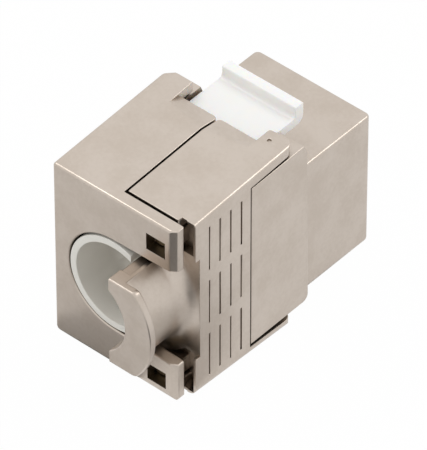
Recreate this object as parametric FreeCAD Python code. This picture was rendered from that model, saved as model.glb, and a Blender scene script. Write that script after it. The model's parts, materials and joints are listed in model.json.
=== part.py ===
import FreeCAD, Part
import math
import os

from FreeCAD import Vector

# Shielded keystone jack: a die-cast housing with two hinged rear doors.
# Millimetres. X runs across, +Y runs forward to the plug face, +Z is up.
# While it is modelled, the rear face of the doors is at Y = 0 and the cable
# axis is at Z = 0. The exported frame stands on the ground below the middle.

# ---- Doors -----------------------------------------------------------------
side_x = 8.06            # half width over the doors and the hinge block
door_top = 11.26         # top of the doors at their rear face
door_bottom = -10.85     # bottom of the doors at their rear face
draft = 0.051            # rise of the top, and fall of the bottom, per mm forward
side_wall = 1.1          # thickness of the doors' side walls
top_plate = 1.2          # thickness of the doors' top plates
bottom_plate = 1.2       # thickness of the doors' bottom plates
rear_wall = 1.4          # rear wall of the left door and its arms
split_left_x = -0.2      # edge of the left door at the split line
split_gap = 0.22         # gap between the two doors at the split line
arm_gap = 0.3            # gap between the arms and the right door's plates
split_corner_round = 0.45  # rounding of the top plates at the split, in front
side_wall_front_y = 10.1  # front end of the doors' side walls
door_edge_round = 0.3    # rounding of the doors' upper outer edges
door_foot_round = 1.0    # rounding of the doors' lower outer edges

# ---- Left door: arms, latch windows and cable opening ----------------------
cable_x = -0.41          # cable axis, a little left of the middle
opening_radius = 5.8     # U-shaped opening in the rear wall
opening_flare = 0.27     # widening of the U, each side, at the arms' tips
arm_tip_x = 7.35
arm_chamfer_x = 0.75     # chamfer on the rear of the arms' tips, across
arm_chamfer_y = 0.5      # and forward
arm_tip_round = 0.25
arm_foot_round = 0.6     # rounding of the lower arm's end, underneath
window_x = 4.91          # middle of the latch windows
window_width = 2.36
window_height = 2.04
window_top_z = 8.34      # middle of the upper window
window_bottom_z = -8.62  # middle of the lower window
presser_height = 1.2     # pads that press the wire manager home
presser_inset = 0.9      # their middle, below the wire manager's top
presser_x0 = -5.5
presser_x1 = -1.5
arm_clearance = 0.2      # between the arms and what lies behind them

# ---- Right door: rear edge, grooves, latch bosses --------------------------
plate_step_x = 6.23      # where the right plates step forward beside the tips
plate_step = 0.55
side_edge_y = 2.15       # rear edge of the right side wall, above and below
side_recess = 0.62       # how far its middle stretch lies further forward
side_recess_low = -6.1
side_recess_high = 6.5
corner_edge = 0.35       # thin edges round the pockets behind the arms' tips
groove_rows = 3
groove_columns = 4
groove_pitch_y = 1.54
groove_first_y = 4.15
groove_pitch_z = 6.9
groove_middle_z = 0.2
groove_length = 5.5
groove_width = 0.2
groove_depth = 0.15
boss_reach = 0.25        # how far the latch bosses stand in the windows
boss_width = 0.9         # their flat part, before the slope
boss_clearance = 0.1     # from the windows' edges

# ---- Right door: cable-tie saddle ------------------------------------------
saddle_radius = 4.83     # inner radius, round the cable
saddle_thickness = 2.2
saddle_rear_y = -4.0
saddle_left_x = 2.4
saddle_half_height = 5.42
saddle_step_y = -2.15    # small step on the saddle's flats
saddle_step = 0.25
saddle_step_width = 1.2
flange_thickness = 0.8
flange_radius = 8.2
flange_round = 0.9
flange_tip_round = 0.45
saddle_wall_front_y = 4.4
saddle_wall_recess = 0.8  # the wall lies this much deeper behind the arms
saddle_root_round = 1.8
saddle_root_edge = 0.05  # the root's blend ends this far inside the door's side
saddle_slot_gap = 0.3    # between the wall's inner edge and the cable guide

# ---- Hinge ears -------------------------------------------------------------
hinge_x = 5.95
hinge_y = 15.2
ear_inner_x = 4.95       # inner edge of the ears
ear_front_y = 16.7
ear_corner = 0.88        # chamfer of the left ears' outer corners
ear_corner_round = 1.3   # rounding of the right ears' outer corners
ear_slant = 0.3          # the right ears' front edge rises outwards by this
plate_front_y = 14.85    # front edge of the top plates between the ears
bottom_front_y = 12.6    # front edge of the bottom plates between the ears
ramp_start_side_y = 13.2  # rear line of the shallow ramp, at the ears
ramp_start_mid_y = 12.35  # and at the split line
ramp_drop = 0.45         # fall of the ramp at its front edge
pin_radius = 0.8         # hinge pins cast on the ears
pin_length = 1.0         # their length inside the housing
pin_clearance = 0.05
relief_gap = 0.1         # between a turning side wall and the hinge block
dimple_radius = 0.22
dimple_depth = 0.15

# ---- Front housing -----------------------------------------------------------
panel_gap = 0.15         # gap between the doors and the hinge block
block_bottom = -9.87
block_front_y = 18.65
block_top_rise = 0.2     # the block's top rises by this towards the front
block_top_setback = 0.75  # its front is further back at its top
block_shoulder_setback = 0.2  # a little further back under the top's chamfer
block_foot_lead = 0.15   # and further forward at its foot
block_top_chamfer = 1.1
block_foot_round = 0.8
nose_top = 6.85
nose_bottom = -9.55
nose_front_y = 28.83
nose_corner_round = 0.6
nose_edge_round = 0.25
nose_foot_round = 0.5
nose_wall = 0.6
nose_top_wall = 0.7
cavity_wall = 1.16
cavity_top = 7.2
cavity_bottom = -8.7
catch_half_width = 4.6   # fixed catch under the nose
catch_drop = 1.4
catch_depth = 1.6
catch_heel_round = 0.5
catch_lip_round = 0.2

# ---- Keystone latch ----------------------------------------------------------
latch_half_width = 4.65
latch_seat_drop = 0.03   # the latch's top, below the block's
latch_thickness = 1.05
latch_front_y = 21.78
latch_tip_round = 0.95
ridge_height = 1.3
ridge_thickness = 1.2
ridge_root_round = 0.5
ridge_top_round = 0.15
pivot_y = 13.2
pivot_radius = 0.75
pivot_reach = 0.4        # how far the pivot goes into each side of the channel
pivot_clearance = 0.05
latch_travel_deg = 10.0
latch_floor_gap = 0.3    # below the pressed latch

# ---- Wire manager -------------------------------------------------------------
ring_gap = 0.2           # between the cable guide and the opening
ring_end_x = 2.2         # the C ends this far right of the cable axis
manager_gap = 0.2        # between the saddle's wall and the wire manager's block
manager_depth = 5.0
manager_side_gap = 0.46  # between the block and the doors' side walls
manager_top = 8.3
manager_bottom = -8.3
manager_corner_round = 0.8
funnel_radius = 3.3
funnel_length = 2.2
wire_slot = 1.0
wire_slot_depth = 2.2

# ---- Terminal block, board and contacts ----------------------------------------
ways = 4                 # IDC contacts in each of the two rows
way_pitch = 3.1
tower_gap = 1.0          # between the wire manager and the towers
tower_height = 3.0
tower_depth = 2.8
base_depth = 1.9
base_clearance = 0.3
blade_width = 2.3
blade_thickness = 0.4
blade_lead = 2.3         # the blades stand out of the towers by this
blade_slot = 0.35
blade_slot_depth = 3.0
blade_mouth = 0.9
blade_clearance = 0.1
tail_width = 0.6
board_gap = 0.4          # between the terminal block and the board
board_thickness = 1.2
board_clearance = 0.3

# ---- Jack insert, jack contacts and shield springs -------------------------------
insert_recess = 0.2      # the insert lies this far behind the housing's front
insert_clearance = 0.05
insert_side_wall = 0.65
insert_back_wall = 0.65
port_half_width = 5.95
port_top = 2.9
port_height = 6.8
tab_half_width = 3.1
tab_depth = 1.5
tab_slot_half_width = 1.7
tab_slot_depth = 1.1
comb_half_width = 4.3
comb_height = 1.9
comb_rear_y = 18.9
comb_front_y = 26.1
contact_count = 8
contact_pitch = 1.016
contact_width = 0.46
contact_thickness = 0.36
contact_top_z = 4.1
contact_bend_y = 25.4
contact_bend = 0.3
contact_tip_y = 19.6
contact_tip_z = 0.7
contact_hole = 0.66
spring_thickness = 0.25
spring_height = 2.6
spring_z = -0.6
spring_front_y = 27.4
spring_rear_y = 19.5
spring_bulge = 0.55
spring_bend = 5.2

# ---- Values worked out from those above ----------------------------------------------
FAR = 60.0               # well outside the part
LAP = 0.1                # overlap of forms that are fused
OVER = 1.0               # how far cutting forms reach past a face
hinge_block_rear_y = side_wall_front_y + panel_gap
housing_top = door_top + draft * hinge_block_rear_y - top_plate - panel_gap
split_right_x = split_left_x + split_gap
wall_inner_x = side_x - side_wall
plate_rear_y = rear_wall + arm_gap
side_recess_y = side_edge_y + side_recess
saddle_wall_y = side_recess_y  # rear face of the wall that carries the saddle
pocket_y = saddle_wall_y + saddle_wall_recess
latch_seat_z = housing_top - latch_seat_drop
latch_bottom_z = latch_seat_z - latch_thickness
pivot_z = latch_seat_z - pivot_radius + LAP
latch_channel_x = ear_inner_x + LAP / 2
ring_radius = opening_radius - ring_gap  # the cable guide's; its bore is the saddle's
manager_rear_y = saddle_wall_front_y + manager_gap
manager_front_y = manager_rear_y + manager_depth
manager_half_width = wall_inner_x - manager_side_gap
presser_z = manager_top - presser_inset
tower_rear_y = manager_front_y + tower_gap
block_base_y = tower_rear_y + tower_depth
base_front_y = block_base_y + base_depth
base_top = cavity_top - base_clearance
base_bottom = cavity_bottom + base_clearance
row_top_z = base_top - tower_height / 2        # upper row of IDC contacts
row_bottom_z = base_bottom + tower_height / 2  # lower row
blade_rear_y = tower_rear_y - blade_lead
board_rear_y = base_front_y + board_gap
board_front_y = board_rear_y + board_thickness
cavity_front_y = board_front_y + board_clearance
port_back_y = cavity_front_y + insert_clearance + insert_back_wall
nose_half_width = port_half_width + insert_side_wall + insert_clearance + nose_wall
insert_front_y = nose_front_y - insert_recess
port_bottom = port_top - port_height
lowest_z = door_bottom - draft * ear_front_y
origin = Vector(0, (nose_front_y + saddle_rear_y) / 2, lowest_z)


# ---- Shape helpers --------------------------------------------------------------------
def box(x0, x1, y0, y1, z0, z1):
    return Part.makeBox(x1 - x0, y1 - y0, z1 - z0, Vector(x0, y0, z0))


def cylinder_y(x, z, radius, y0, y1):
    return Part.makeCylinder(radius, y1 - y0, Vector(x, y0, z), Vector(0, 1, 0))


def cylinder_z(x, y, radius, z0, z1):
    return Part.makeCylinder(radius, z1 - z0, Vector(x, y, z0), Vector(0, 0, 1))


def cylinder_x(y, z, radius, x0, x1):
    return Part.makeCylinder(radius, x1 - x0, Vector(x0, y, z), Vector(1, 0, 0))


def outline(corners, to_space):
    """Closed face through corners (u, v) or (u, v, radius), with those corners rounded."""
    points = [Vector(c[0], c[1], 0) for c in corners]
    radii = [c[2] if len(c) > 2 else 0.0 for c in corners]
    edges = []
    entries = []
    exits = []
    middles = []
    for i, here in enumerate(points):
        back = (points[i - 1] - here).normalize()
        on = (points[(i + 1) % len(points)] - here).normalize()
        if radii[i] == 0.0:
            entries.append(here)
            exits.append(here)
            middles.append(None)
            continue
        half = back.getAngle(on) / 2
        reach = radii[i] / math.tan(half)
        entries.append(here + back * reach)
        exits.append(here + on * reach)
        inward = (back + on).normalize()
        middles.append(here + inward * (radii[i] / math.sin(half) - radii[i]))
    for i in range(len(points)):
        if middles[i] is not None:
            bend = [to_space(p.x, p.y) for p in (entries[i], middles[i], exits[i])]
            edges.append(Part.Arc(*bend).toShape())
        start = exits[i]
        end = entries[(i + 1) % len(points)]
        if start.distanceToPoint(end) > 1e-6:
            line = Part.LineSegment(to_space(start.x, start.y), to_space(end.x, end.y))
            edges.append(line.toShape())
    return Part.Face(Part.Wire(edges))


def prism_z(corners, z0, z1):
    return outline(corners, lambda u, v: Vector(u, v, z0)).extrude(Vector(0, 0, z1 - z0))


def prism_x(corners, x0, x1):
    return outline(corners, lambda u, v: Vector(x0, u, v)).extrude(Vector(x1 - x0, 0, 0))


def prism_y(corners, y0, y1):
    return outline(corners, lambda u, v: Vector(u, y0, v)).extrude(Vector(0, y1 - y0, 0))


def revolve_cable(corners):
    """Turn an outline of (radius, y) corners round the cable axis."""
    face = outline(corners, lambda u, v: Vector(cable_x + u, v, 0))
    return face.revolve(Vector(cable_x, 0, 0), Vector(0, 1, 0), 360)


def fuse(*shapes):
    return shapes[0].multiFuse(list(shapes[1:])).removeSplitter()


def cut(shape, *tools):
    return shape.cut(list(tools)).removeSplitter()


def mirror_x(shape):
    return shape.mirror(Vector(0, 0, 0), Vector(1, 0, 0))


def round_edges(shape, radius, wanted):
    """Round the edges whose middle point satisfies wanted(point)."""
    chosen = []
    for edge in shape.Edges:
        middle = edge.valueAt((edge.FirstParameter + edge.LastParameter) / 2)
        if wanted(middle):
            chosen.append(edge)
    return shape.makeFillet(radius, chosen)


def near(a, b):
    return abs(a - b) < 0.02


def strip(points, thickness, bend, x0, x1):
    """A bent strip whose middle line runs through (y, z) points, extruded along X."""
    upper = []
    lower = []
    last = len(points) - 1
    for i, (y, z) in enumerate(points):
        here = Vector(y, z, 0)
        before = (here - Vector(*points[i - 1], 0)).normalize() if i > 0 else None
        after = (Vector(*points[i + 1], 0) - here).normalize() if i < last else None
        along = before if after is None else after if before is None else (before + after).normalize()
        side = Vector(-along.y, along.x, 0)
        stretch = 1.0 if before is None or after is None else 1 / math.cos(before.getAngle(after) / 2)
        offset = side * (thickness / 2 * stretch)
        turn = 0.0 if before is None or after is None else before.x * after.y - before.y * after.x
        round_up = 0.0 if turn == 0.0 else bend + (thickness if turn < 0 else 0.0)
        round_low = 0.0 if turn == 0.0 else bend + (thickness if turn > 0 else 0.0)
        upper.append((y + offset.x, z + offset.y, round_up))
        lower.append((y - offset.x, z - offset.y, round_low))
    return prism_x(upper + lower[::-1], x0, x1)


# ---- Doors ------------------------------------------------------------------------------
def top_at(y):
    return door_top + draft * y


def bottom_at(y):
    return door_bottom - draft * y


def drafted_block(x0, x1, y0, y1, top_inset=0.0, bottom_inset=0.0):
    """The doors' tapered outer form, or that form set in by the plates."""
    corners = [
        (y0, bottom_at(y0) + bottom_inset),
        (y0, top_at(y0) - top_inset),
        (y1, top_at(y1) - top_inset),
        (y1, bottom_at(y1) + bottom_inset),
    ]
    return prism_x(corners, x0, x1)


def plates(top_plan, bottom_plan):
    """Top and bottom plates of a door, from their outlines seen from above."""
    both = fuse(prism_z(top_plan, 0, FAR), prism_z(bottom_plan, -FAR, 0))
    return cut(both, drafted_block(-FAR, FAR, -FAR, FAR, top_plate, bottom_plate))


def on_top(point):
    return near(point.z, top_at(point.y))


def on_bottom(point):
    return near(point.z, bottom_at(point.y))


def hinge_pins(x):
    top = cylinder_z(x, hinge_y, pin_radius, housing_top - pin_length, top_at(hinge_y) - top_plate / 2)
    low_end = bottom_at(hinge_y) + bottom_plate / 2
    return [top, cylinder_z(x, hinge_y, pin_radius, low_end, block_bottom + pin_length)]


def turning_relief(x):
    """Clears the end of a side wall where it swings past the hinge block."""
    corner = math.hypot(side_x - hinge_x, hinge_block_rear_y - hinge_y)
    return cylinder_z(x, hinge_y, corner + relief_gap, -FAR, FAR)


def ramp(x_side):
    """Space above the shallow ramp that leads down to the keystone latch."""
    ends = []
    for x, start in ((0.0, ramp_start_mid_y), (x_side, ramp_start_side_y)):
        high = top_at(start)
        fall = (top_at(plate_front_y) - ramp_drop - high) / (plate_front_y - start)
        end_y = plate_front_y + OVER
        low = high + fall * (end_y - start)
        corners = [(start, high), (end_y, low), (end_y, high + OVER), (start, high + OVER), (start, high)]
        ends.append(Part.makePolygon([Vector(x, y, z) for y, z in corners]))
    return Part.makeLoft(ends, True, True)


def left_rear_door():
    hull = drafted_block(-side_x, arm_tip_x, 0, ear_front_y)
    hull = round_edges(hull, door_foot_round, lambda p: on_bottom(p)
                       and (near(p.x, -side_x) or near(p.y, 0)))
    hull = round_edges(hull, door_edge_round, lambda p: near(p.x, -side_x) and near(p.y, 0)
                       or on_top(p) and (near(p.x, -side_x) or near(p.y, 0)))
    wall_plan = [
        (-side_x, 0),
        (arm_tip_x - arm_chamfer_x, 0),
        (arm_tip_x, arm_chamfer_y),
        (arm_tip_x, rear_wall, arm_tip_round),
        (-side_x, rear_wall),
    ]
    side = cut(box(-side_x, -wall_inner_x, 0, side_wall_front_y, -FAR, FAR), turning_relief(-hinge_x))
    plate_plans = []
    for front_y in (plate_front_y, bottom_front_y):
        plate_plans.append([
            (-side_x, 0),
            (split_left_x, 0),
            (split_left_x, front_y, split_corner_round),
            (-ear_inner_x, front_y),
            (-ear_inner_x, ear_front_y),
            (-side_x + ear_corner, ear_front_y),
            (-side_x, ear_front_y - ear_corner),
        ])
    shell = fuse(prism_z(wall_plan, -FAR, FAR), side, plates(*plate_plans)).common(hull)
    pads = []
    for z in (presser_z, -presser_z):
        pads.append(box(presser_x0, presser_x1, rear_wall - LAP, manager_rear_y - panel_gap,
                        z - presser_height / 2, z + presser_height / 2))
    shell = fuse(shell, *pads, *hinge_pins(-hinge_x))
    return cut(shell, cable_opening(), arm_foot_corner(), *latch_windows(), ramp(-ear_inner_x))


def cable_opening():
    """The U-shaped opening, which widens a little between the arms."""
    end_x = arm_tip_x + OVER
    half_end = opening_radius + opening_flare
    sides = [(cable_x, opening_radius), (end_x, half_end), (end_x, -half_end), (cable_x, -opening_radius)]
    depth = rear_wall + OVER
    round_end = cylinder_y(cable_x, 0, opening_radius, -OVER, depth)
    return fuse(round_end, prism_y(sides, -OVER, depth))


def arm_foot_corner():
    """What the rounding underneath the lower arm's end leaves out."""
    middle_x = arm_tip_x - arm_foot_round
    middle_z = bottom_at(0) + arm_foot_round
    end_y = rear_wall + OVER
    corner = box(middle_x, arm_tip_x + OVER, -OVER, end_y, -FAR, middle_z)
    return corner.cut(cylinder_y(middle_x, middle_z, arm_foot_round, -OVER, end_y))


def latch_windows():
    half_width = window_width / 2
    half_height = window_height / 2
    windows = []
    for z in (window_top_z, window_bottom_z):
        windows.append(box(window_x - half_width, window_x + half_width, -OVER, rear_wall + OVER,
                           z - half_height, z + half_height))
    return windows


def right_rear_door():
    hull = drafted_block(split_right_x, side_x, 0, ear_front_y)
    hull = round_edges(hull, door_foot_round, lambda p: on_bottom(p) and near(p.x, side_x))
    hull = round_edges(hull, door_edge_round, lambda p: on_top(p) and near(p.x, side_x))
    plate_plans = []
    for front_y in (plate_front_y, bottom_front_y):
        plate_plans.append([
            (split_right_x, plate_rear_y),
            (plate_step_x, plate_rear_y),
            (plate_step_x + LAP, plate_rear_y + plate_step),
            (side_x, side_edge_y),
            (side_x, ear_front_y, ear_corner_round),
            (ear_inner_x, ear_front_y - ear_slant, ear_slant),
            (ear_inner_x, front_y),
            (split_right_x, front_y, split_corner_round),
        ])
    side_outline = [
        (side_edge_y, FAR),
        (side_edge_y, side_recess_high),
        (side_recess_y, side_recess_high),
        (side_recess_y, side_recess_low),
        (side_edge_y, side_recess_low),
        (side_edge_y, -FAR),
        (side_wall_front_y, -FAR),
        (side_wall_front_y, FAR),
    ]
    side = cut(prism_x(side_outline, wall_inner_x, side_x), turning_relief(hinge_x))
    shell = fuse(side, plates(*plate_plans), saddle_wall()).common(hull)
    shell = cut(shell, ramp(ear_inner_x), *corner_pockets(), *side_grooves(), ear_dimple())
    return fuse(shell, saddle(), *latch_bosses(), *hinge_pins(hinge_x))


def corner_pockets():
    """Pockets behind the arms' tips, with thin edges on the side wall and the plates."""
    x0 = plate_step_x + LAP
    x1 = side_x - corner_edge
    top = top_at(side_edge_y) - corner_edge
    bottom = bottom_at(side_edge_y) + corner_edge
    return [box(x0, x1, 0, pocket_y, side_recess_high, top),
            box(x0, x1, 0, pocket_y, bottom, side_recess_low)]


def saddle_wall():
    """Inner rear wall of the right door, deeper behind the arms, open round the cable."""
    middle = box(split_right_x, side_x - LAP, saddle_wall_y, saddle_wall_front_y,
                 side_recess_low, side_recess_high)
    whole = box(split_right_x, side_x - LAP, pocket_y, saddle_wall_front_y, -FAR, FAR)
    clear = opening_radius + saddle_slot_gap
    slot = box(-FAR, saddle_left_x, 0, FAR, -clear, clear)
    return cut(fuse(middle, whole), slot, cylinder_y(cable_x, 0, saddle_radius, 0, FAR))


def saddle():
    """Half-round cable-tie saddle with an end flange and a blended root."""
    tube_radius = saddle_radius + saddle_thickness
    tube = revolve_cable([
        (saddle_radius, saddle_rear_y),
        (tube_radius, saddle_rear_y),
        (tube_radius, saddle_wall_y + LAP),
        (saddle_radius, saddle_wall_y + LAP),
    ])
    right = side_x - saddle_root_edge
    half = saddle_half_height
    tube = tube.common(box(saddle_left_x, right, -FAR, FAR, -half, half))
    low = half - saddle_step
    for z0, z1 in ((low, FAR), (-FAR, -low)):
        tube = cut(tube, box(saddle_left_x, saddle_left_x + saddle_step_width, saddle_step_y, FAR, z0, z1))
    root = revolve_cable([
        (saddle_radius, saddle_wall_y - saddle_root_round),
        (tube_radius, saddle_wall_y - saddle_root_round - LAP),
        (tube_radius, saddle_wall_y, saddle_root_round),
        (tube_radius + saddle_root_round + LAP, saddle_wall_y),
        (tube_radius + saddle_root_round + LAP, pocket_y + LAP),
        (saddle_radius, pocket_y + LAP),
    ])
    root = root.common(box(saddle_left_x, right, -FAR, FAR, -FAR, FAR))
    behind_arms = rear_wall + arm_clearance
    for z0, z1 in ((low, FAR), (-FAR, -low)):
        root = cut(root, box(-FAR, FAR, -FAR, behind_arms, z0, z1))
    return fuse(tube, root, saddle_flange())


def saddle_flange():
    ring = revolve_cable([
        (saddle_radius, saddle_rear_y),
        (flange_radius, saddle_rear_y),
        (flange_radius, saddle_rear_y + flange_thickness),
        (saddle_radius, saddle_rear_y + flange_thickness),
    ])
    half = saddle_half_height
    plate = ring.common(box(saddle_left_x, FAR, -FAR, FAR, -half, half))
    middle_y = saddle_rear_y + flange_thickness / 2
    plate = round_edges(plate, flange_round, lambda p: near(p.y, middle_y)
                        and near(abs(p.z), half) and p.x > saddle_left_x + OVER)
    return round_edges(plate, flange_tip_round, lambda p: near(p.y, middle_y)
                       and near(abs(p.z), half) and near(p.x, saddle_left_x))


def latch_bosses():
    """Wedges on the right door that stand in the windows of the arms."""
    reach_x = window_width / 2 - boss_clearance
    x0 = window_x - reach_x
    x1 = window_x + reach_x
    wedge = [
        (x0, saddle_wall_front_y - LAP),
        (x0, rear_wall - boss_reach),
        (x0 + boss_width, rear_wall - boss_reach),
        (x1, plate_rear_y),
        (x1, saddle_wall_front_y - LAP),
    ]
    half = window_height / 2 - boss_clearance
    return [prism_z(wedge, z - half, z + half) for z in (window_top_z, window_bottom_z)]


def side_grooves():
    grooves = []
    for column in range(groove_columns):
        y = groove_first_y + column * groove_pitch_y
        for row in range(groove_rows):
            z = groove_middle_z + (row - (groove_rows - 1) / 2) * groove_pitch_z
            grooves.append(box(side_x - groove_depth, side_x + groove_depth,
                               y - groove_width / 2, y + groove_width / 2,
                               z - groove_length / 2, z + groove_length / 2))
    return grooves


def ear_dimple():
    return cylinder_z(hinge_x, hinge_y, dimple_radius, top_at(hinge_y) - dimple_depth, FAR)


# ---- Front housing -------------------------------------------------------------------------
def front_housing():
    block_side = [
        (hinge_block_rear_y, block_bottom),
        (hinge_block_rear_y, housing_top),
        (block_front_y - block_top_setback, housing_top + block_top_rise),
        (block_front_y - block_shoulder_setback, housing_top - block_top_chamfer),
        (block_front_y + block_foot_lead, block_bottom, block_foot_round),
    ]
    block = prism_x(block_side, -side_x, side_x)
    nose = box(-nose_half_width, nose_half_width, block_front_y - nose_corner_round, nose_front_y,
               nose_bottom, nose_top)
    nose = round_edges(nose, nose_corner_round, lambda p: near(abs(p.x), nose_half_width)
                       and near(p.y, nose_front_y) and nose_bottom < p.z < nose_top)
    nose = round_edges(nose, nose_foot_round, lambda p: near(p.z, nose_bottom) and p.y > block_front_y)
    nose = round_edges(nose, nose_edge_round, lambda p: near(p.z, nose_top) and p.y > block_front_y)
    shell = fuse(block, nose, fixed_catch())
    cavity_x = side_x - cavity_wall
    cavity = box(-cavity_x, cavity_x, 0, cavity_front_y, cavity_bottom, cavity_top)
    port_x = nose_half_width - nose_wall
    port = box(-port_x, port_x, cavity_front_y - LAP, FAR,
               nose_bottom + nose_wall, nose_top - nose_top_wall)
    return cut(shell, cavity, port, latch_channel(), *pin_holes())


def fixed_catch():
    """Hook under the nose that takes the lower edge of the cut-out."""
    hook = [
        (latch_front_y - catch_depth, nose_bottom + LAP),
        (latch_front_y - catch_depth, nose_bottom - catch_drop, catch_heel_round),
        (latch_front_y, nose_bottom - catch_drop, catch_lip_round),
        (latch_front_y, nose_bottom + LAP),
    ]
    return prism_x(hook, -catch_half_width, catch_half_width)


def latch_channel():
    """Room for the keystone latch and its swing, with sockets for its pivot."""
    drop = math.tan(math.radians(latch_travel_deg))
    rear_y = pivot_y - pivot_radius - pivot_clearance
    floor_z = latch_bottom_z - latch_floor_gap
    end_y = nose_front_y
    room = [
        (rear_y, FAR),
        (rear_y, pivot_z),
        (pivot_y, floor_z),
        (end_y, floor_z - drop * (end_y - pivot_y)),
        (end_y, FAR),
    ]
    channel = prism_x(room, -latch_channel_x, latch_channel_x)
    channel = channel.cut(box(-FAR, FAR, -FAR, FAR, -FAR, nose_top))
    socket_x = latch_channel_x + pivot_reach + pivot_clearance
    return fuse(channel, cylinder_x(pivot_y, pivot_z, pivot_radius + pivot_clearance, -socket_x, socket_x))


def pin_holes():
    radius = pin_radius + pin_clearance
    depth = pin_length + pin_clearance
    holes = []
    for x in (-hinge_x, hinge_x):
        holes.append(cylinder_z(x, hinge_y, radius, housing_top - depth, FAR))
        holes.append(cylinder_z(x, hinge_y, radius, -FAR, block_bottom + depth))
    return holes


# ---- Keystone latch ------------------------------------------------------------------------
def keystone_latch():
    ridge_rear_y = latch_front_y - ridge_thickness
    side = [
        (pivot_y, latch_bottom_z),
        (pivot_y, latch_seat_z),
        (ridge_rear_y, latch_seat_z, ridge_root_round),
        (ridge_rear_y, latch_seat_z + ridge_height, ridge_top_round),
        (latch_front_y, latch_seat_z + ridge_height, ridge_top_round),
        (latch_front_y, latch_bottom_z, latch_tip_round),
    ]
    tongue = prism_x(side, -latch_half_width, latch_half_width)
    reach = latch_channel_x + pivot_reach
    return fuse(tongue, cylinder_x(pivot_y, pivot_z, pivot_radius, -reach, reach))


# ---- Wire manager ----------------------------------------------------------------------------
def wire_manager():
    guide = revolve_cable([
        (saddle_radius, 0),
        (ring_radius, 0),
        (ring_radius, manager_rear_y + LAP),
        (saddle_radius, manager_rear_y + LAP),
    ])
    guide = cut(guide, box(cable_x + ring_end_x, FAR, -OVER, manager_rear_y, -FAR, FAR))
    front = [
        (-manager_half_width, manager_bottom, manager_corner_round),
        (-manager_half_width, manager_top, manager_corner_round),
        (manager_half_width, manager_top, manager_corner_round),
        (manager_half_width, manager_bottom, manager_corner_round),
    ]
    block = prism_y(front, manager_rear_y, manager_front_y)
    funnel_end = manager_rear_y + funnel_length
    passage = revolve_cable([
        (0, manager_rear_y - LAP),
        (saddle_radius, manager_rear_y - LAP),
        (saddle_radius, manager_rear_y),
        (funnel_radius, funnel_end),
        (funnel_radius, manager_front_y + OVER),
        (0, manager_front_y + OVER),
    ])
    return cut(fuse(guide, cut(block, passage)), *wire_slots())


def wire_slots():
    """Slots that hold the eight wires, crossed by the pockets for the blades."""
    slots = []
    for x in way_places():
        slots.append(box(x - wire_slot / 2, x + wire_slot / 2,
                         manager_front_y - wire_slot_depth, FAR, -FAR, FAR))
        for z in (row_top_z, row_bottom_z):
            half_x = blade_width / 2 + 2 * blade_clearance
            half_z = blade_thickness / 2 + 2 * blade_clearance
            slots.append(box(x - half_x, x + half_x,
                             blade_rear_y - blade_clearance, FAR, z - half_z, z + half_z))
    return slots


# ---- Terminal block, board and IDC contacts ------------------------------------------------------
def way_places():
    return [way_pitch * (i - (ways - 1) / 2) for i in range(ways)]


def terminal_block():
    half_x = side_x - cavity_wall - base_clearance
    base = box(-half_x, half_x, block_base_y, base_front_y, base_bottom, base_top)
    towers = []
    for z in (row_top_z, row_bottom_z):
        towers.append(box(-half_x, half_x, tower_rear_y, block_base_y + LAP,
                          z - tower_height / 2, z + tower_height / 2))
    cuts = []
    half_width = blade_width / 2 + blade_clearance
    half_thickness = blade_thickness / 2 + blade_clearance
    for x in way_places():
        cuts.append(box(x - wire_slot / 2, x + wire_slot / 2,
                        0, blade_rear_y + blade_slot_depth, -FAR, FAR))
        for z in (row_top_z, row_bottom_z):
            cuts.append(box(x - half_width, x + half_width,
                            0, FAR, z - half_thickness, z + half_thickness))
    return cut(fuse(base, *towers), *cuts)


def idc_contact(x, z):
    """Slotted blade: two tines round a narrow slot with a wide mouth, and a tail."""
    half = blade_width / 2
    slot = blade_slot / 2
    mouth = blade_mouth / 2
    right = [
        (x + tail_width / 2, board_front_y),
        (x + tail_width / 2, base_front_y),
        (x + half, base_front_y),
        (x + half, blade_rear_y),
        (x + mouth, blade_rear_y),
        (x + slot, blade_rear_y + mouth),
        (x + slot, blade_rear_y + blade_slot_depth),
    ]
    left = [(2 * x - u, v) for u, v in right[::-1]]
    return prism_z(right + left, z - blade_thickness / 2, z + blade_thickness / 2)


def contact_places():
    return [contact_pitch * (i - (contact_count - 1) / 2) for i in range(contact_count)]


def circuit_board():
    half_x = side_x - cavity_wall - board_clearance
    board = box(-half_x, half_x, board_rear_y, board_front_y,
                cavity_bottom + board_clearance, cavity_top - board_clearance)
    holes = []
    y0 = board_rear_y - OVER
    y1 = board_front_y + OVER
    for x in contact_places():
        holes.append(cylinder_y(x, contact_top_z, contact_hole / 2 + LAP, y0, y1))
    for x in way_places():
        for z in (row_top_z, row_bottom_z):
            holes.append(cylinder_y(x, z, tail_width / 2 + blade_clearance + LAP, y0, y1))
    return cut(board, *holes)


# ---- Jack insert, jack contacts and shield springs ----------------------------------------------------
def port_space():
    """The stepped opening of the port, as seen from the front."""
    step = port_bottom - tab_depth
    floor = step - tab_slot_depth
    half = [
        (port_half_width, port_top),
        (port_half_width, port_bottom),
        (tab_half_width, port_bottom),
        (tab_half_width, step),
        (tab_slot_half_width, step),
        (tab_slot_half_width, floor),
    ]
    whole = half + [(-x, z) for x, z in half[::-1]]
    return prism_y(whole, port_back_y, FAR)


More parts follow.
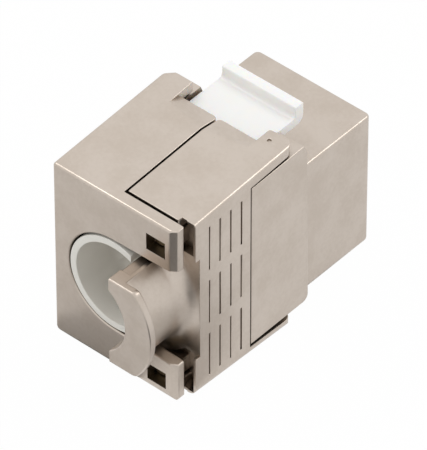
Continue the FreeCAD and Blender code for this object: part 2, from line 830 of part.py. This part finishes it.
def jack_insert():
    half_x = nose_half_width - nose_wall - insert_clearance
    body = box(-half_x, half_x, cavity_front_y + insert_clearance, insert_front_y,
               nose_bottom + nose_wall + insert_clearance, nose_top - nose_top_wall - insert_clearance)
    comb = box(-comb_half_width, comb_half_width, comb_rear_y, comb_front_y,
               port_top - LAP, port_top + comb_height)
    cuts = [port_space(), comb]
    half_hole = contact_hole / 2
    for x in contact_places():
        cuts.append(box(x - half_hole, x + half_hole, 0, comb_rear_y + LAP,
                        contact_top_z - half_hole, contact_top_z + half_hole))
    for side in (-1, 1):
        x0, x1 = sorted((side * port_half_width, side * (port_half_width + 2 * spring_thickness)))
        cuts.append(box(x0, x1, spring_rear_y - LAP, spring_front_y + LAP,
                        spring_z - spring_height / 2 - LAP, spring_z + spring_height / 2 + LAP))
    return cut(body, *cuts)


def jack_contact(x):
    """Sprung wire that runs along the roof and turns back down into the port."""
    path = [
        (board_rear_y - board_clearance / 2, contact_top_z),
        (contact_bend_y, contact_top_z),
        (contact_tip_y, contact_tip_z),
    ]
    return strip(path, contact_thickness, contact_bend, x - contact_width / 2, x + contact_width / 2)


def shield_spring(side):
    """Bowed strip in the side of the port that touches the plug's shield."""
    middle_y = (spring_rear_y + spring_front_y) / 2
    seat = port_half_width + spring_thickness + spring_thickness / 2
    bow = [(spring_rear_y, seat), (middle_y, seat - spring_bulge), (spring_front_y, seat)]
    flat = strip(bow, spring_thickness, spring_bend, -spring_height / 2, spring_height / 2)
    flat.rotate(Vector(0, 0, 0), Vector(0, 1, 0), 90)
    flat.translate(Vector(0, 0, spring_z))
    return flat if side > 0 else mirror_x(flat)


# ---- Writing the pieces -------------------------------------------------------------------------------
def pieces():
    named = {
        "front_housing": front_housing(),
        "left_rear_door": left_rear_door(),
        "right_rear_door": right_rear_door(),
        "keystone_latch": keystone_latch(),
        "wire_manager": wire_manager(),
        "terminal_block": terminal_block(),
        "circuit_board": circuit_board(),
        "jack_insert": jack_insert(),
        "left_shield_spring": shield_spring(-1),
        "right_shield_spring": shield_spring(1),
    }
    for i, x in enumerate(contact_places()):
        named["jack_contact_%d" % (i + 1)] = jack_contact(x)
    for row, z in enumerate((row_top_z, row_bottom_z)):
        for i, x in enumerate(way_places()):
            named["idc_contact_%d" % (row * ways + i + 1)] = idc_contact(x, z)
    return named


os.makedirs("parts", exist_ok=True)
for name, shape in pieces().items():
    shape.translate(-origin)
    shape.exportStep("parts/%s.step" % name)
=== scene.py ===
import json
import math

import bmesh
import bpy
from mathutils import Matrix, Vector
from mathutils.bvhtree import BVHTree
from mathutils.geometry import intersect_point_line


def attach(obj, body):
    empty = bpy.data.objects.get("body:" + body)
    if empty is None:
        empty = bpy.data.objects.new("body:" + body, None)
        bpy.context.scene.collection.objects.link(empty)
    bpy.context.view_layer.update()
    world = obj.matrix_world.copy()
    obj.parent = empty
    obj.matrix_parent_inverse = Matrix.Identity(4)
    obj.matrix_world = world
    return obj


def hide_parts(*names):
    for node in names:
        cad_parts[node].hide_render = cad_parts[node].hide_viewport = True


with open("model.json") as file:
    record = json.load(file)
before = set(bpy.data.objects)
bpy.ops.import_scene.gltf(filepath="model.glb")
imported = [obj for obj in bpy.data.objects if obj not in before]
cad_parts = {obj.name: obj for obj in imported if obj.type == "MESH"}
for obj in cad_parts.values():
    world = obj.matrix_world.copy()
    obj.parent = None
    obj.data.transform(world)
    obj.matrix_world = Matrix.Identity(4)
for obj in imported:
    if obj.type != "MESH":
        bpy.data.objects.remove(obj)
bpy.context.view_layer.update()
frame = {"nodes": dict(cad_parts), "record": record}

# Shielded keystone jack: satin nickel castings, a white latch and a white cable guide.
# Metres, in the frame of the solids: +Y towards the plug face and +Z up.

MM = 0.001


# ---- Shader nodes -----------------------------------------------------------------------
class Signal:
    """A node's output. Sums and products of signals and numbers add their Math nodes."""

    def __init__(self, finish, socket):
        self.finish = finish
        self.socket = socket

    def math(self, operation, first, second=0.0):
        return self.finish.node("Math", {"operation": operation}, {0: first, 1: second})

    def __add__(self, other):
        return self.math("ADD", self, other)

    def __radd__(self, other):
        return self.math("ADD", other, self)

    def __rsub__(self, other):
        return self.math("SUBTRACT", other, self)

    def __mul__(self, other):
        return self.math("MULTIPLY", self, other)

    def __rmul__(self, other):
        return self.math("MULTIPLY", other, self)

    def between(self, low, high):
        """0 where the signal is under low, 1 where it is over high, and smooth between."""
        sockets = {"Value": self, "From Min": low, "From Max": high}
        return self.finish.node("MapRange", {"interpolation_type": "SMOOTHSTEP"}, sockets)


class Finish:
    """A material: one Principled shader, with constants on its sockets and signals into them."""

    def __init__(self, name, **constants):
        self.material = bpy.data.materials.new(name)
        self.material.use_nodes = True
        self.tree = self.material.node_tree
        self.shader = self.tree.nodes["Principled BSDF"]
        self.place = self.node("TexCoord", {}, {}, "Object")
        for socket, value in constants.items():
            self.feed(socket.replace("_", " "), value)

    def node(self, kind, settings, sockets, output=0):
        """Adds a node: its settings come first, then the values or signals of its sockets."""
        made = self.tree.nodes.new("ShaderNode" + kind)
        for name, value in settings.items():
            setattr(made, name, value)
        for name, value in sockets.items():
            self.join(made.inputs[name], value)
        return Signal(self, made.outputs[output])

    def join(self, socket, value):
        if isinstance(value, Signal):
            self.tree.links.new(value.socket, socket)
        else:
            socket.default_value = value

    def feed(self, socket, value):
        self.join(self.shader.inputs[socket], value)

    def surface(self, shader):
        self.tree.links.new(shader.socket, self.tree.nodes["Material Output"].inputs["Surface"])

    def noise(self, size, detail=2.0, roughness=0.5):
        """Cloudy noise from 0 to 1 whose patches are about size across, in metres."""
        sockets = {"Vector": self.place, "Scale": 1.0 / size, "Detail": detail, "Roughness": roughness}
        return self.node("TexNoise", {"noise_dimensions": "3D"}, sockets)

    def grains(self, size):
        """Distance to the nearest of scattered points about size apart, in shares of size."""
        return self.node("TexVoronoi", {}, {"Vector": self.place, "Scale": 1.0 / size})

    def slab(self, axis, low, high):
        """1 between two places along an axis, in millimetres, and 0 outside them."""
        along = self.node("SeparateXYZ", {}, {"Vector": self.place}, axis)
        soft = 0.03 * MM
        past_low = along.between(low * MM - soft, low * MM + soft)
        past_high = along.between(high * MM - soft, high * MM + soft)
        return past_low * (1.0 - past_high)

    def blend(self, share, first, second):
        return self.node("Mix", {"data_type": "RGBA"}, {0: share, 6: first, 7: second}, 2)

    def openness(self, reach):
        """1 on open surfaces, and towards 0 in slots and hollows narrower than reach, in metres."""
        return self.node("AmbientOcclusion", {"samples": 8}, {"Distance": reach}, "AO")

    def bump(self, height, distance, strength=1.0, under=None):
        sockets = {"Height": height, "Distance": distance, "Strength": strength}
        if under is not None:
            sockets["Normal"] = under
        return self.node("Bump", {}, sockets)


# ---- Finishes ---------------------------------------------------------------------------
def nickel_casting():
    """Satin nickel plating over a zinc casting: faint clouds and fine grain, with painted shade in its
    slots, its hollows and the arms' two windows.
    """
    finish = Finish("nickel_casting", Metallic=1.0, IOR=1.5)
    clouds = finish.noise(3.2 * MM, 3.0)
    mottle = finish.noise(0.45 * MM, 4.0, 0.65)
    grain = finish.noise(0.09 * MM, 2.0)
    specks = 1.0 - finish.grains(2.3 * MM).between(0.015, 0.045)
    # Painted shade: ambient occlusion finds the slots and hollows whose colour is darkened.
    painted_pocket_shade = 1.0 - finish.openness(1.5 * MM).between(0.12, 0.78)
    light = (0.595, 0.525, 0.461, 1.0)
    dark = (0.543, 0.473, 0.408, 1.0)
    speck_tint = (0.34, 0.29, 0.24, 1.0)
    # Painted shade colour for slots and hollows.
    painted_pocket_shade_tint = (0.16, 0.125, 0.09, 1.0)
    # Painted shade colour for the arms' windows and what shows through them.
    painted_window_shade_tint = (0.26, 0.215, 0.155, 1.0)
    tint = finish.blend((0.6 * clouds + 0.4 * mottle).between(0.35, 0.65), light, dark)
    tint = finish.blend(specks * 0.25, tint, speck_tint)
    # Painted shade around the two windows in the left door's arms, and on what shows through them.
    across = finish.slab("X", 3.68, 6.14)
    windows = across * (finish.slab("Z", 2.02, 4.14) + finish.slab("Z", 18.98, 21.10))
    painted_window_shade = windows * finish.slab("Y", -12.36, -9.7)
    # Painted shade: slots and hollows darken towards a dark brown.
    tint = finish.blend(0.9 * painted_pocket_shade, tint, painted_pocket_shade_tint)
    # Painted shade: the windows get a fixed dark colour.
    tint = finish.blend(painted_window_shade, tint, painted_window_shade_tint)
    finish.feed("Base Color", tint)
    finish.feed("Roughness", 0.28 + 0.08 * clouds + 0.07 * mottle)
    fine = finish.bump(grain, 0.004 * MM, 0.6)
    finish.feed("Normal", finish.bump(mottle, 0.012 * MM, 0.5, fine))
    return finish.material


def white_plastic():
    """Glossy white plastic of the latch, with a faint moulded unevenness."""
    finish = Finish("white_plastic", Roughness=0.32, IOR=1.5,
                    Subsurface_Weight=0.5, Subsurface_Scale=0.9 * MM)
    finish.shader.inputs["Subsurface Radius"].default_value = (1.0, 0.8, 0.6)
    clouds = finish.noise(2.5 * MM, 2.0)
    finish.feed("Base Color", finish.blend(clouds, (0.95, 0.945, 0.925, 1.0), (0.93, 0.92, 0.895, 1.0)))
    finish.feed("Normal", finish.bump(finish.noise(0.5 * MM), 0.004 * MM, 0.5))
    return finish.material


def moulded_plastic(name, light, dark, roughness):
    """Matt moulded plastic with a fine spark-eroded grain."""
    finish = Finish(name, IOR=1.5)
    clouds = finish.noise(2.0 * MM, 2.0)
    grain = finish.noise(0.12 * MM, 2.0)
    finish.feed("Base Color", finish.blend(clouds, light, dark))
    finish.feed("Roughness", roughness + 0.1 * grain)
    finish.feed("Normal", finish.bump(grain, 0.006 * MM, 0.5))
    return finish.material


def plated_metal(name, light, dark, roughness):
    """Thin plating on sprung metal, with the fine lines of the drawn strip along Y."""
    finish = Finish(name, Metallic=1.0)
    stretched = finish.node("Mapping", {}, {"Vector": finish.place, "Scale": (1.0, 0.05, 1.0)})
    lines = finish.node("TexNoise", {}, {"Vector": stretched, "Scale": 1.0 / (0.06 * MM), "Detail": 2.0})
    finish.feed("Base Color", finish.blend(lines, light, dark))
    finish.feed("Roughness", roughness + 0.12 * lines)
    return finish.material


def circuit_board():
    """Green solder mask over the weave of a glass laminate."""
    finish = Finish("board", IOR=1.5)
    weave = finish.node("TexChecker", {}, {"Vector": finish.place, "Scale": 1.0 / (0.5 * MM)}, "Fac")
    finish.feed("Base Color", finish.blend(weave * 0.3, (0.03, 0.22, 0.10, 1.0), (0.02, 0.16, 0.08, 1.0)))
    finish.feed("Roughness", 0.3 + 0.1 * finish.noise(0.3 * MM))
    return finish.material


FINISHES = {
    "nickel_casting": nickel_casting(),
    "white_plastic": white_plastic(),
    "natural_plastic": moulded_plastic("natural_plastic",
        (0.85, 0.83, 0.77, 1.0), (0.79, 0.77, 0.71, 1.0), 0.42),
    "grey_plastic": moulded_plastic("grey_plastic",
        (0.19, 0.20, 0.21, 1.0), (0.16, 0.17, 0.18, 1.0), 0.45),
    "black_plastic": moulded_plastic("black_plastic",
        (0.022, 0.022, 0.024, 1.0), (0.016, 0.016, 0.018, 1.0), 0.4),
    "gold_contact": plated_metal("gold_contact",
        (0.95, 0.70, 0.30, 1.0), (0.88, 0.62, 0.24, 1.0), 0.34),
    "tin_contact": plated_metal("tin_contact",
        (0.74, 0.73, 0.70, 1.0), (0.62, 0.61, 0.58, 1.0), 0.3),
    "steel_spring": plated_metal("steel_spring",
        (0.62, 0.62, 0.60, 1.0), (0.52, 0.52, 0.50, 1.0), 0.28),
    "board": circuit_board(),
}
SLOTS = {part["node"]: part["material_slot"] for part in frame["record"]["subparts"]}


def body_of_node(node):
    for body, members in frame["record"]["behaviour"]["bodies"].items():
        if node in members:
            return body


# ---- Pieces -----------------------------------------------------------------------------
EDGE_ANGLE = math.radians(30)  # a sharper edge than this gets a round
RUN_ON = math.radians(150)  # two edges that meet at more than this count as one line
FACE_SHARE = 0.4  # most of the next edge's length that a round takes
END_SHARE = 0.5  # most of its own length that a round takes where a line of edges ends
TAPER = 0.4  # growth of a round along a line, in shares of its edges' length
TAPER_SLACK = 1.001
TAPER_SWEEPS = 40
ROUND_TRIALS = 12
ROUND_SEGMENTS = 3
OFF_SURFACE = 0.4  # a triangle this share of the width off the first surface is a fold
TURNED_OVER = 0.05  # and so is one whose normal agrees with the surface by less than this
SMALLEST_TRIANGLE = 5e-10  # square metres, under which a turned triangle isn't a fold
FOLD_REACH = 0.6  # of the width: edges this much further from a fold than the nearest one
FOLD_KEEP = 0.7  # share of their round that those edges keep


def select_only(piece):
    bpy.ops.object.select_all(action="DESELECT")
    piece.select_set(True)
    bpy.context.view_layer.objects.active = piece


def paint(piece, slot):
    piece.data.materials.clear()
    piece.data.materials.append(FINISHES[slot])


def turn_between(edge, beside):
    """The lengths of two edges that share a corner, and the angle between them."""
    shared = beside.verts[0] if beside.verts[0] in edge.verts else beside.verts[1]
    along = edge.other_vert(shared).co - shared.co
    out = beside.other_vert(shared).co - shared.co
    return along.length, out.length, along.angle(out, 0.0)


def room_for_rounds(mesh, width):
    """The outer edges, each with the widest round up to width that its faces leave room for."""
    room = {edge: width for edge in mesh.edges
            if edge.is_manifold and edge.is_convex and edge.calc_face_angle() > EDGE_ANGLE}
    for edge in room:
        for loop in edge.link_loops:
            for beside in (loop.link_loop_prev.edge, loop.link_loop_next.edge):
                other, turn = turn_between(edge, beside)[1:]
                if beside not in room or turn < RUN_ON:
                    room[edge] = min(room[edge], FACE_SHARE * other * math.sin(turn))
        if any(sum(other in room for other in corner.link_edges) == 1 for corner in edge.verts):
            room[edge] = min(room[edge], END_SHARE * edge.calc_length())
    return room


def taper_rounds(room):
    """Lets the round change only slowly along a line of edges, so that its sides never cross."""
    for _ in range(TAPER_SWEEPS):
        changed = False
        for edge in room:
            for corner in edge.verts:
                for beside in corner.link_edges:
                    if beside is edge or beside not in room:
                        continue
                    own, other, turn = turn_between(edge, beside)
                    widest = room[beside] + TAPER * min(own, other) * math.sin(turn)
                    if turn > RUN_ON and room[edge] > widest * TAPER_SLACK:
                        room[edge] = widest
                        changed = True
        if not changed:
            return


def gap_to(edge, spot):
    """Distance from a spot to the nearest point of an edge."""
    start, end = edge.verts[0].co, edge.verts[1].co
    share = intersect_point_line(spot, start, end)[1]
    return (spot - start.lerp(end, min(max(share, 0.0), 1.0))).length


def folds(shape, surface, width):
    """Middles of the triangles of a bevelled shape that left the first surface or turned over."""
    shape.data.calc_loop_triangles()
    middles = []
    for triangle in shape.data.loop_triangles:
        first, second, third = [shape.data.vertices[corner].co for corner in triangle.vertices]
        middle = (first + second + third) / 3
        _, normal, _, distance = surface.find_nearest(middle)
        turned = triangle.area > SMALLEST_TRIANGLE and triangle.normal.dot(normal) < TURNED_OVER
        if distance > OFF_SURFACE * width or turned:
            middles.append(middle)
    return middles


def round_edges(piece, width, finer):
    """Bevels the outer edges, by less in the finer boxes and where a bevel would fold over."""
    mesh = bmesh.new()
    mesh.from_mesh(piece.data)
    weights = mesh.edges.layers.float.new("bevel_weight_edge")
    surface = BVHTree.FromBMesh(mesh)
    room = room_for_rounds(mesh, width)
    for low, high, most in finer:
        for edge in room:
            if all(low[axis] * MM < corner.co[axis] < high[axis] * MM
                   for corner in edge.verts for axis in range(3)):
                room[edge] = min(room[edge], most * MM)
    rounds = piece.modifiers.new("edge_rounds", "BEVEL")
    rounds.width = width
    rounds.segments = ROUND_SEGMENTS
    rounds.limit_method = "WEIGHT"
    rounds.use_clamp_overlap = False
    rounds.loop_slide = False
    for _ in range(ROUND_TRIALS):
        taper_rounds(room)
        for edge, share in room.items():
            edge[weights] = max(share, 0.0) / width
        mesh.to_mesh(piece.data)
        shape = piece.evaluated_get(bpy.context.evaluated_depsgraph_get())
        middles = folds(shape, surface, width)
        if not middles:
            break
        for middle in middles:
            gaps = {edge: gap_to(edge, middle) for edge in room}
            reach = min(gaps.values()) + FOLD_REACH * width
            for edge, gap in gaps.items():
                if gap < reach:
                    room[edge] *= FOLD_KEEP
    mesh.free()
    bpy.ops.object.modifier_apply(modifier=rounds.name)


def softened(node, name, width, finer=()):
    """Stands for a node: its form with merged vertices, small rounds on the edges, smooth."""
    piece = bpy.data.objects.new(name, frame["nodes"][node].data.copy())
    bpy.context.scene.collection.objects.link(piece)
    select_only(piece)
    bpy.ops.object.mode_set(mode="EDIT")
    bpy.ops.mesh.select_all(action="SELECT")
    bpy.ops.mesh.remove_doubles(threshold=0.001 * MM)
    bpy.ops.mesh.dissolve_limited(angle_limit=math.radians(0.3))
    bpy.ops.object.mode_set(mode="OBJECT")
    round_edges(piece, width, finer)
    bpy.ops.object.shade_smooth_by_angle(angle=math.radians(35))
    flats = piece.modifiers.new("flat_faces", "WEIGHTED_NORMAL")
    flats.keep_sharp = True
    bpy.ops.object.modifier_apply(modifier=flats.name)
    paint(piece, SLOTS[node])
    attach(piece, body_of_node(node))
    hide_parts(node)


for node, solid in frame["nodes"].items():
    paint(solid, SLOTS[node])

softened("front_housing", "front_casting", 0.2 * MM)
# Boxes in millimetres, and the widest round in them: the arms' windows and the split on top.
arm_windows = [
    ((3.7, -12.45, 18.99), (6.12, -10.9, 21.09), 0.02),
    ((3.7, -12.45, 2.03), (6.12, -10.9, 4.13), 0.02),
]
split = [
    ((-0.4, -12.0, 21.9), (0.7, 5.0, 24.0), 0.08),
    ((-0.4, -11.3, 21.9), (7.6, -9.4, 24.0), 0.08),
]
softened("left_rear_door", "left_door_casting", 0.2 * MM, arm_windows + split)
softened("right_rear_door", "right_door_casting", 0.2 * MM, split)
softened("keystone_latch", "latch_tongue", 0.16 * MM)
softened("wire_manager", "cable_guide", 0.08 * MM)


# ---- Studio -----------------------------------------------------------------------------
LAMP_DISTANCE = 0.6  # metres from the jack
FLOOR_WHITE_SEEN = 0.985
FLOOR_WHITE_MIRRORED = 0.85
WORLD_LIGHT = 0.76
WORLD_WHITE = 0.24  # what the world gains where it is seen, so that it is plain white


def shown_rays(tree, in_camera, in_mirrors):
    """How far camera rays, and the rays that metal and clear plastic send on, see plain white."""
    camera_ray, glossy_ray, clear_ray = [tree.node("LightPath", {}, {}, ray) for ray in
                                         ("Is Camera Ray", "Is Glossy Ray", "Is Transmission Ray")]
    mirrored = camera_ray.math("MAXIMUM", glossy_ray, clear_ray)
    return camera_ray.math("MAXIMUM", in_camera * camera_ray, in_mirrors * mirrored)


def studio_floor():
    """A pale sheet of paper under the jack."""
    bpy.ops.object.select_all(action="DESELECT")
    bpy.ops.mesh.primitive_plane_add(size=3.0, location=(0, 0, -0.02 * MM))
    floor = bpy.context.object
    floor.name = "studio_floor"
    paper = Finish("floor_paper", Base_Color=(0.82, 0.82, 0.82, 1.0), Roughness=0.9)
    white = paper.node("Emission", {}, {"Color": (1.0, 1.0, 1.0, 1.0), "Strength": 1.0})
    matt = Signal(paper, paper.shader.outputs["BSDF"])
    shown = shown_rays(paper, FLOOR_WHITE_SEEN, FLOOR_WHITE_MIRRORED)
    paper.surface(paper.node("MixShader", {}, {0: shown, 1: matt, 2: white}))
    floor.data.materials.append(paper.material)


def floor_card(name, place, radius, shade):
    """A round card on the floor, which only the metal mirrors: a painted reflection."""
    bpy.ops.object.select_all(action="DESELECT")
    bpy.ops.mesh.primitive_circle_add(vertices=48, radius=radius, fill_type="NGON", location=place)
    card = bpy.context.object
    card.name = name
    card.data.materials.append(Finish(name, Base_Color=(shade, shade, shade, 1.0), Roughness=0.9).material)
    card.visible_camera = False
    card.visible_diffuse = False
    card.visible_transmission = False
    card.visible_shadow = False


class Sky(Finish):
    """The world's nodes, made in the same way as a material's."""

    def __init__(self, world):
        world.use_nodes = True
        self.tree = world.node_tree
        self.shader = self.tree.nodes["Background"]


def studio_world():
    """Even light from all round, plain white where it is seen."""
    world = bpy.data.worlds.new("studio")
    bpy.context.scene.world = world
    sky = Sky(world)
    sky.feed("Color", (1.0, 1.0, 1.0, 1.0))
    sky.feed("Strength", WORLD_LIGHT + WORLD_WHITE * shown_rays(sky, 1.0, 1.0))


def softbox(name, direction, width, radiance):
    """A square lamp in this direction from the jack."""
    place = Vector(direction).normalized() * LAMP_DISTANCE
    data = bpy.data.lights.new(name, "AREA")
    data.size = width
    data.energy = radiance * math.pi * width * width
    made = bpy.data.objects.new(name, data)
    made.location = place
    made.rotation_euler = place.to_track_quat("Z", "Y").to_euler()
    bpy.context.scene.collection.objects.link(made)


def camera():
    """Long lens, from behind, above and to the right of the jack."""
    azimuth, elevation = math.radians(40.969), math.radians(42.831)
    aim = Vector((1.056, 0.356, 11.508)) * MM
    distance = 0.67318
    back = Vector((math.sin(azimuth) * math.cos(elevation),
                   -math.cos(azimuth) * math.cos(elevation),
                   math.sin(elevation)))
    data = bpy.data.cameras.new("camera")
    data.lens = 560.0
    made = bpy.data.objects.new("camera", data)
    made.location = aim + back * distance
    made.rotation_euler = (-back).to_track_quat("-Z", "Y").to_euler()
    data.clip_start = 0.05
    data.clip_end = 5.0
    bpy.context.scene.collection.objects.link(made)
    bpy.context.scene.camera = made


studio_floor()
studio_world()
# Painted reflections: cards that only the metal mirrors, darkening what it reflects of the floor; the
# shade card stands for the floor's shade close to the jack.
floor_card("black_card", (21 * MM, -39 * MM, 0.2 * MM), 16 * MM, 0.01)
floor_card("grey_card", (-22 * MM, -40 * MM, 0.1 * MM), 34 * MM, 0.9)
floor_card("shade_card", (-4 * MM, -13 * MM, 0.15 * MM), 6 * MM, 0.52)
floor_card("side_card", (27 * MM, -12 * MM, 0.1 * MM), 18 * MM, 0.82)
softbox("left_softbox", (-0.48, -0.12, 0.87), 0.25, 2.7)
softbox("right_softbox", (0.3, 0.55, 0.78), 0.25, 2.7)
camera()
bpy.context.scene.view_settings.view_transform = "Standard"
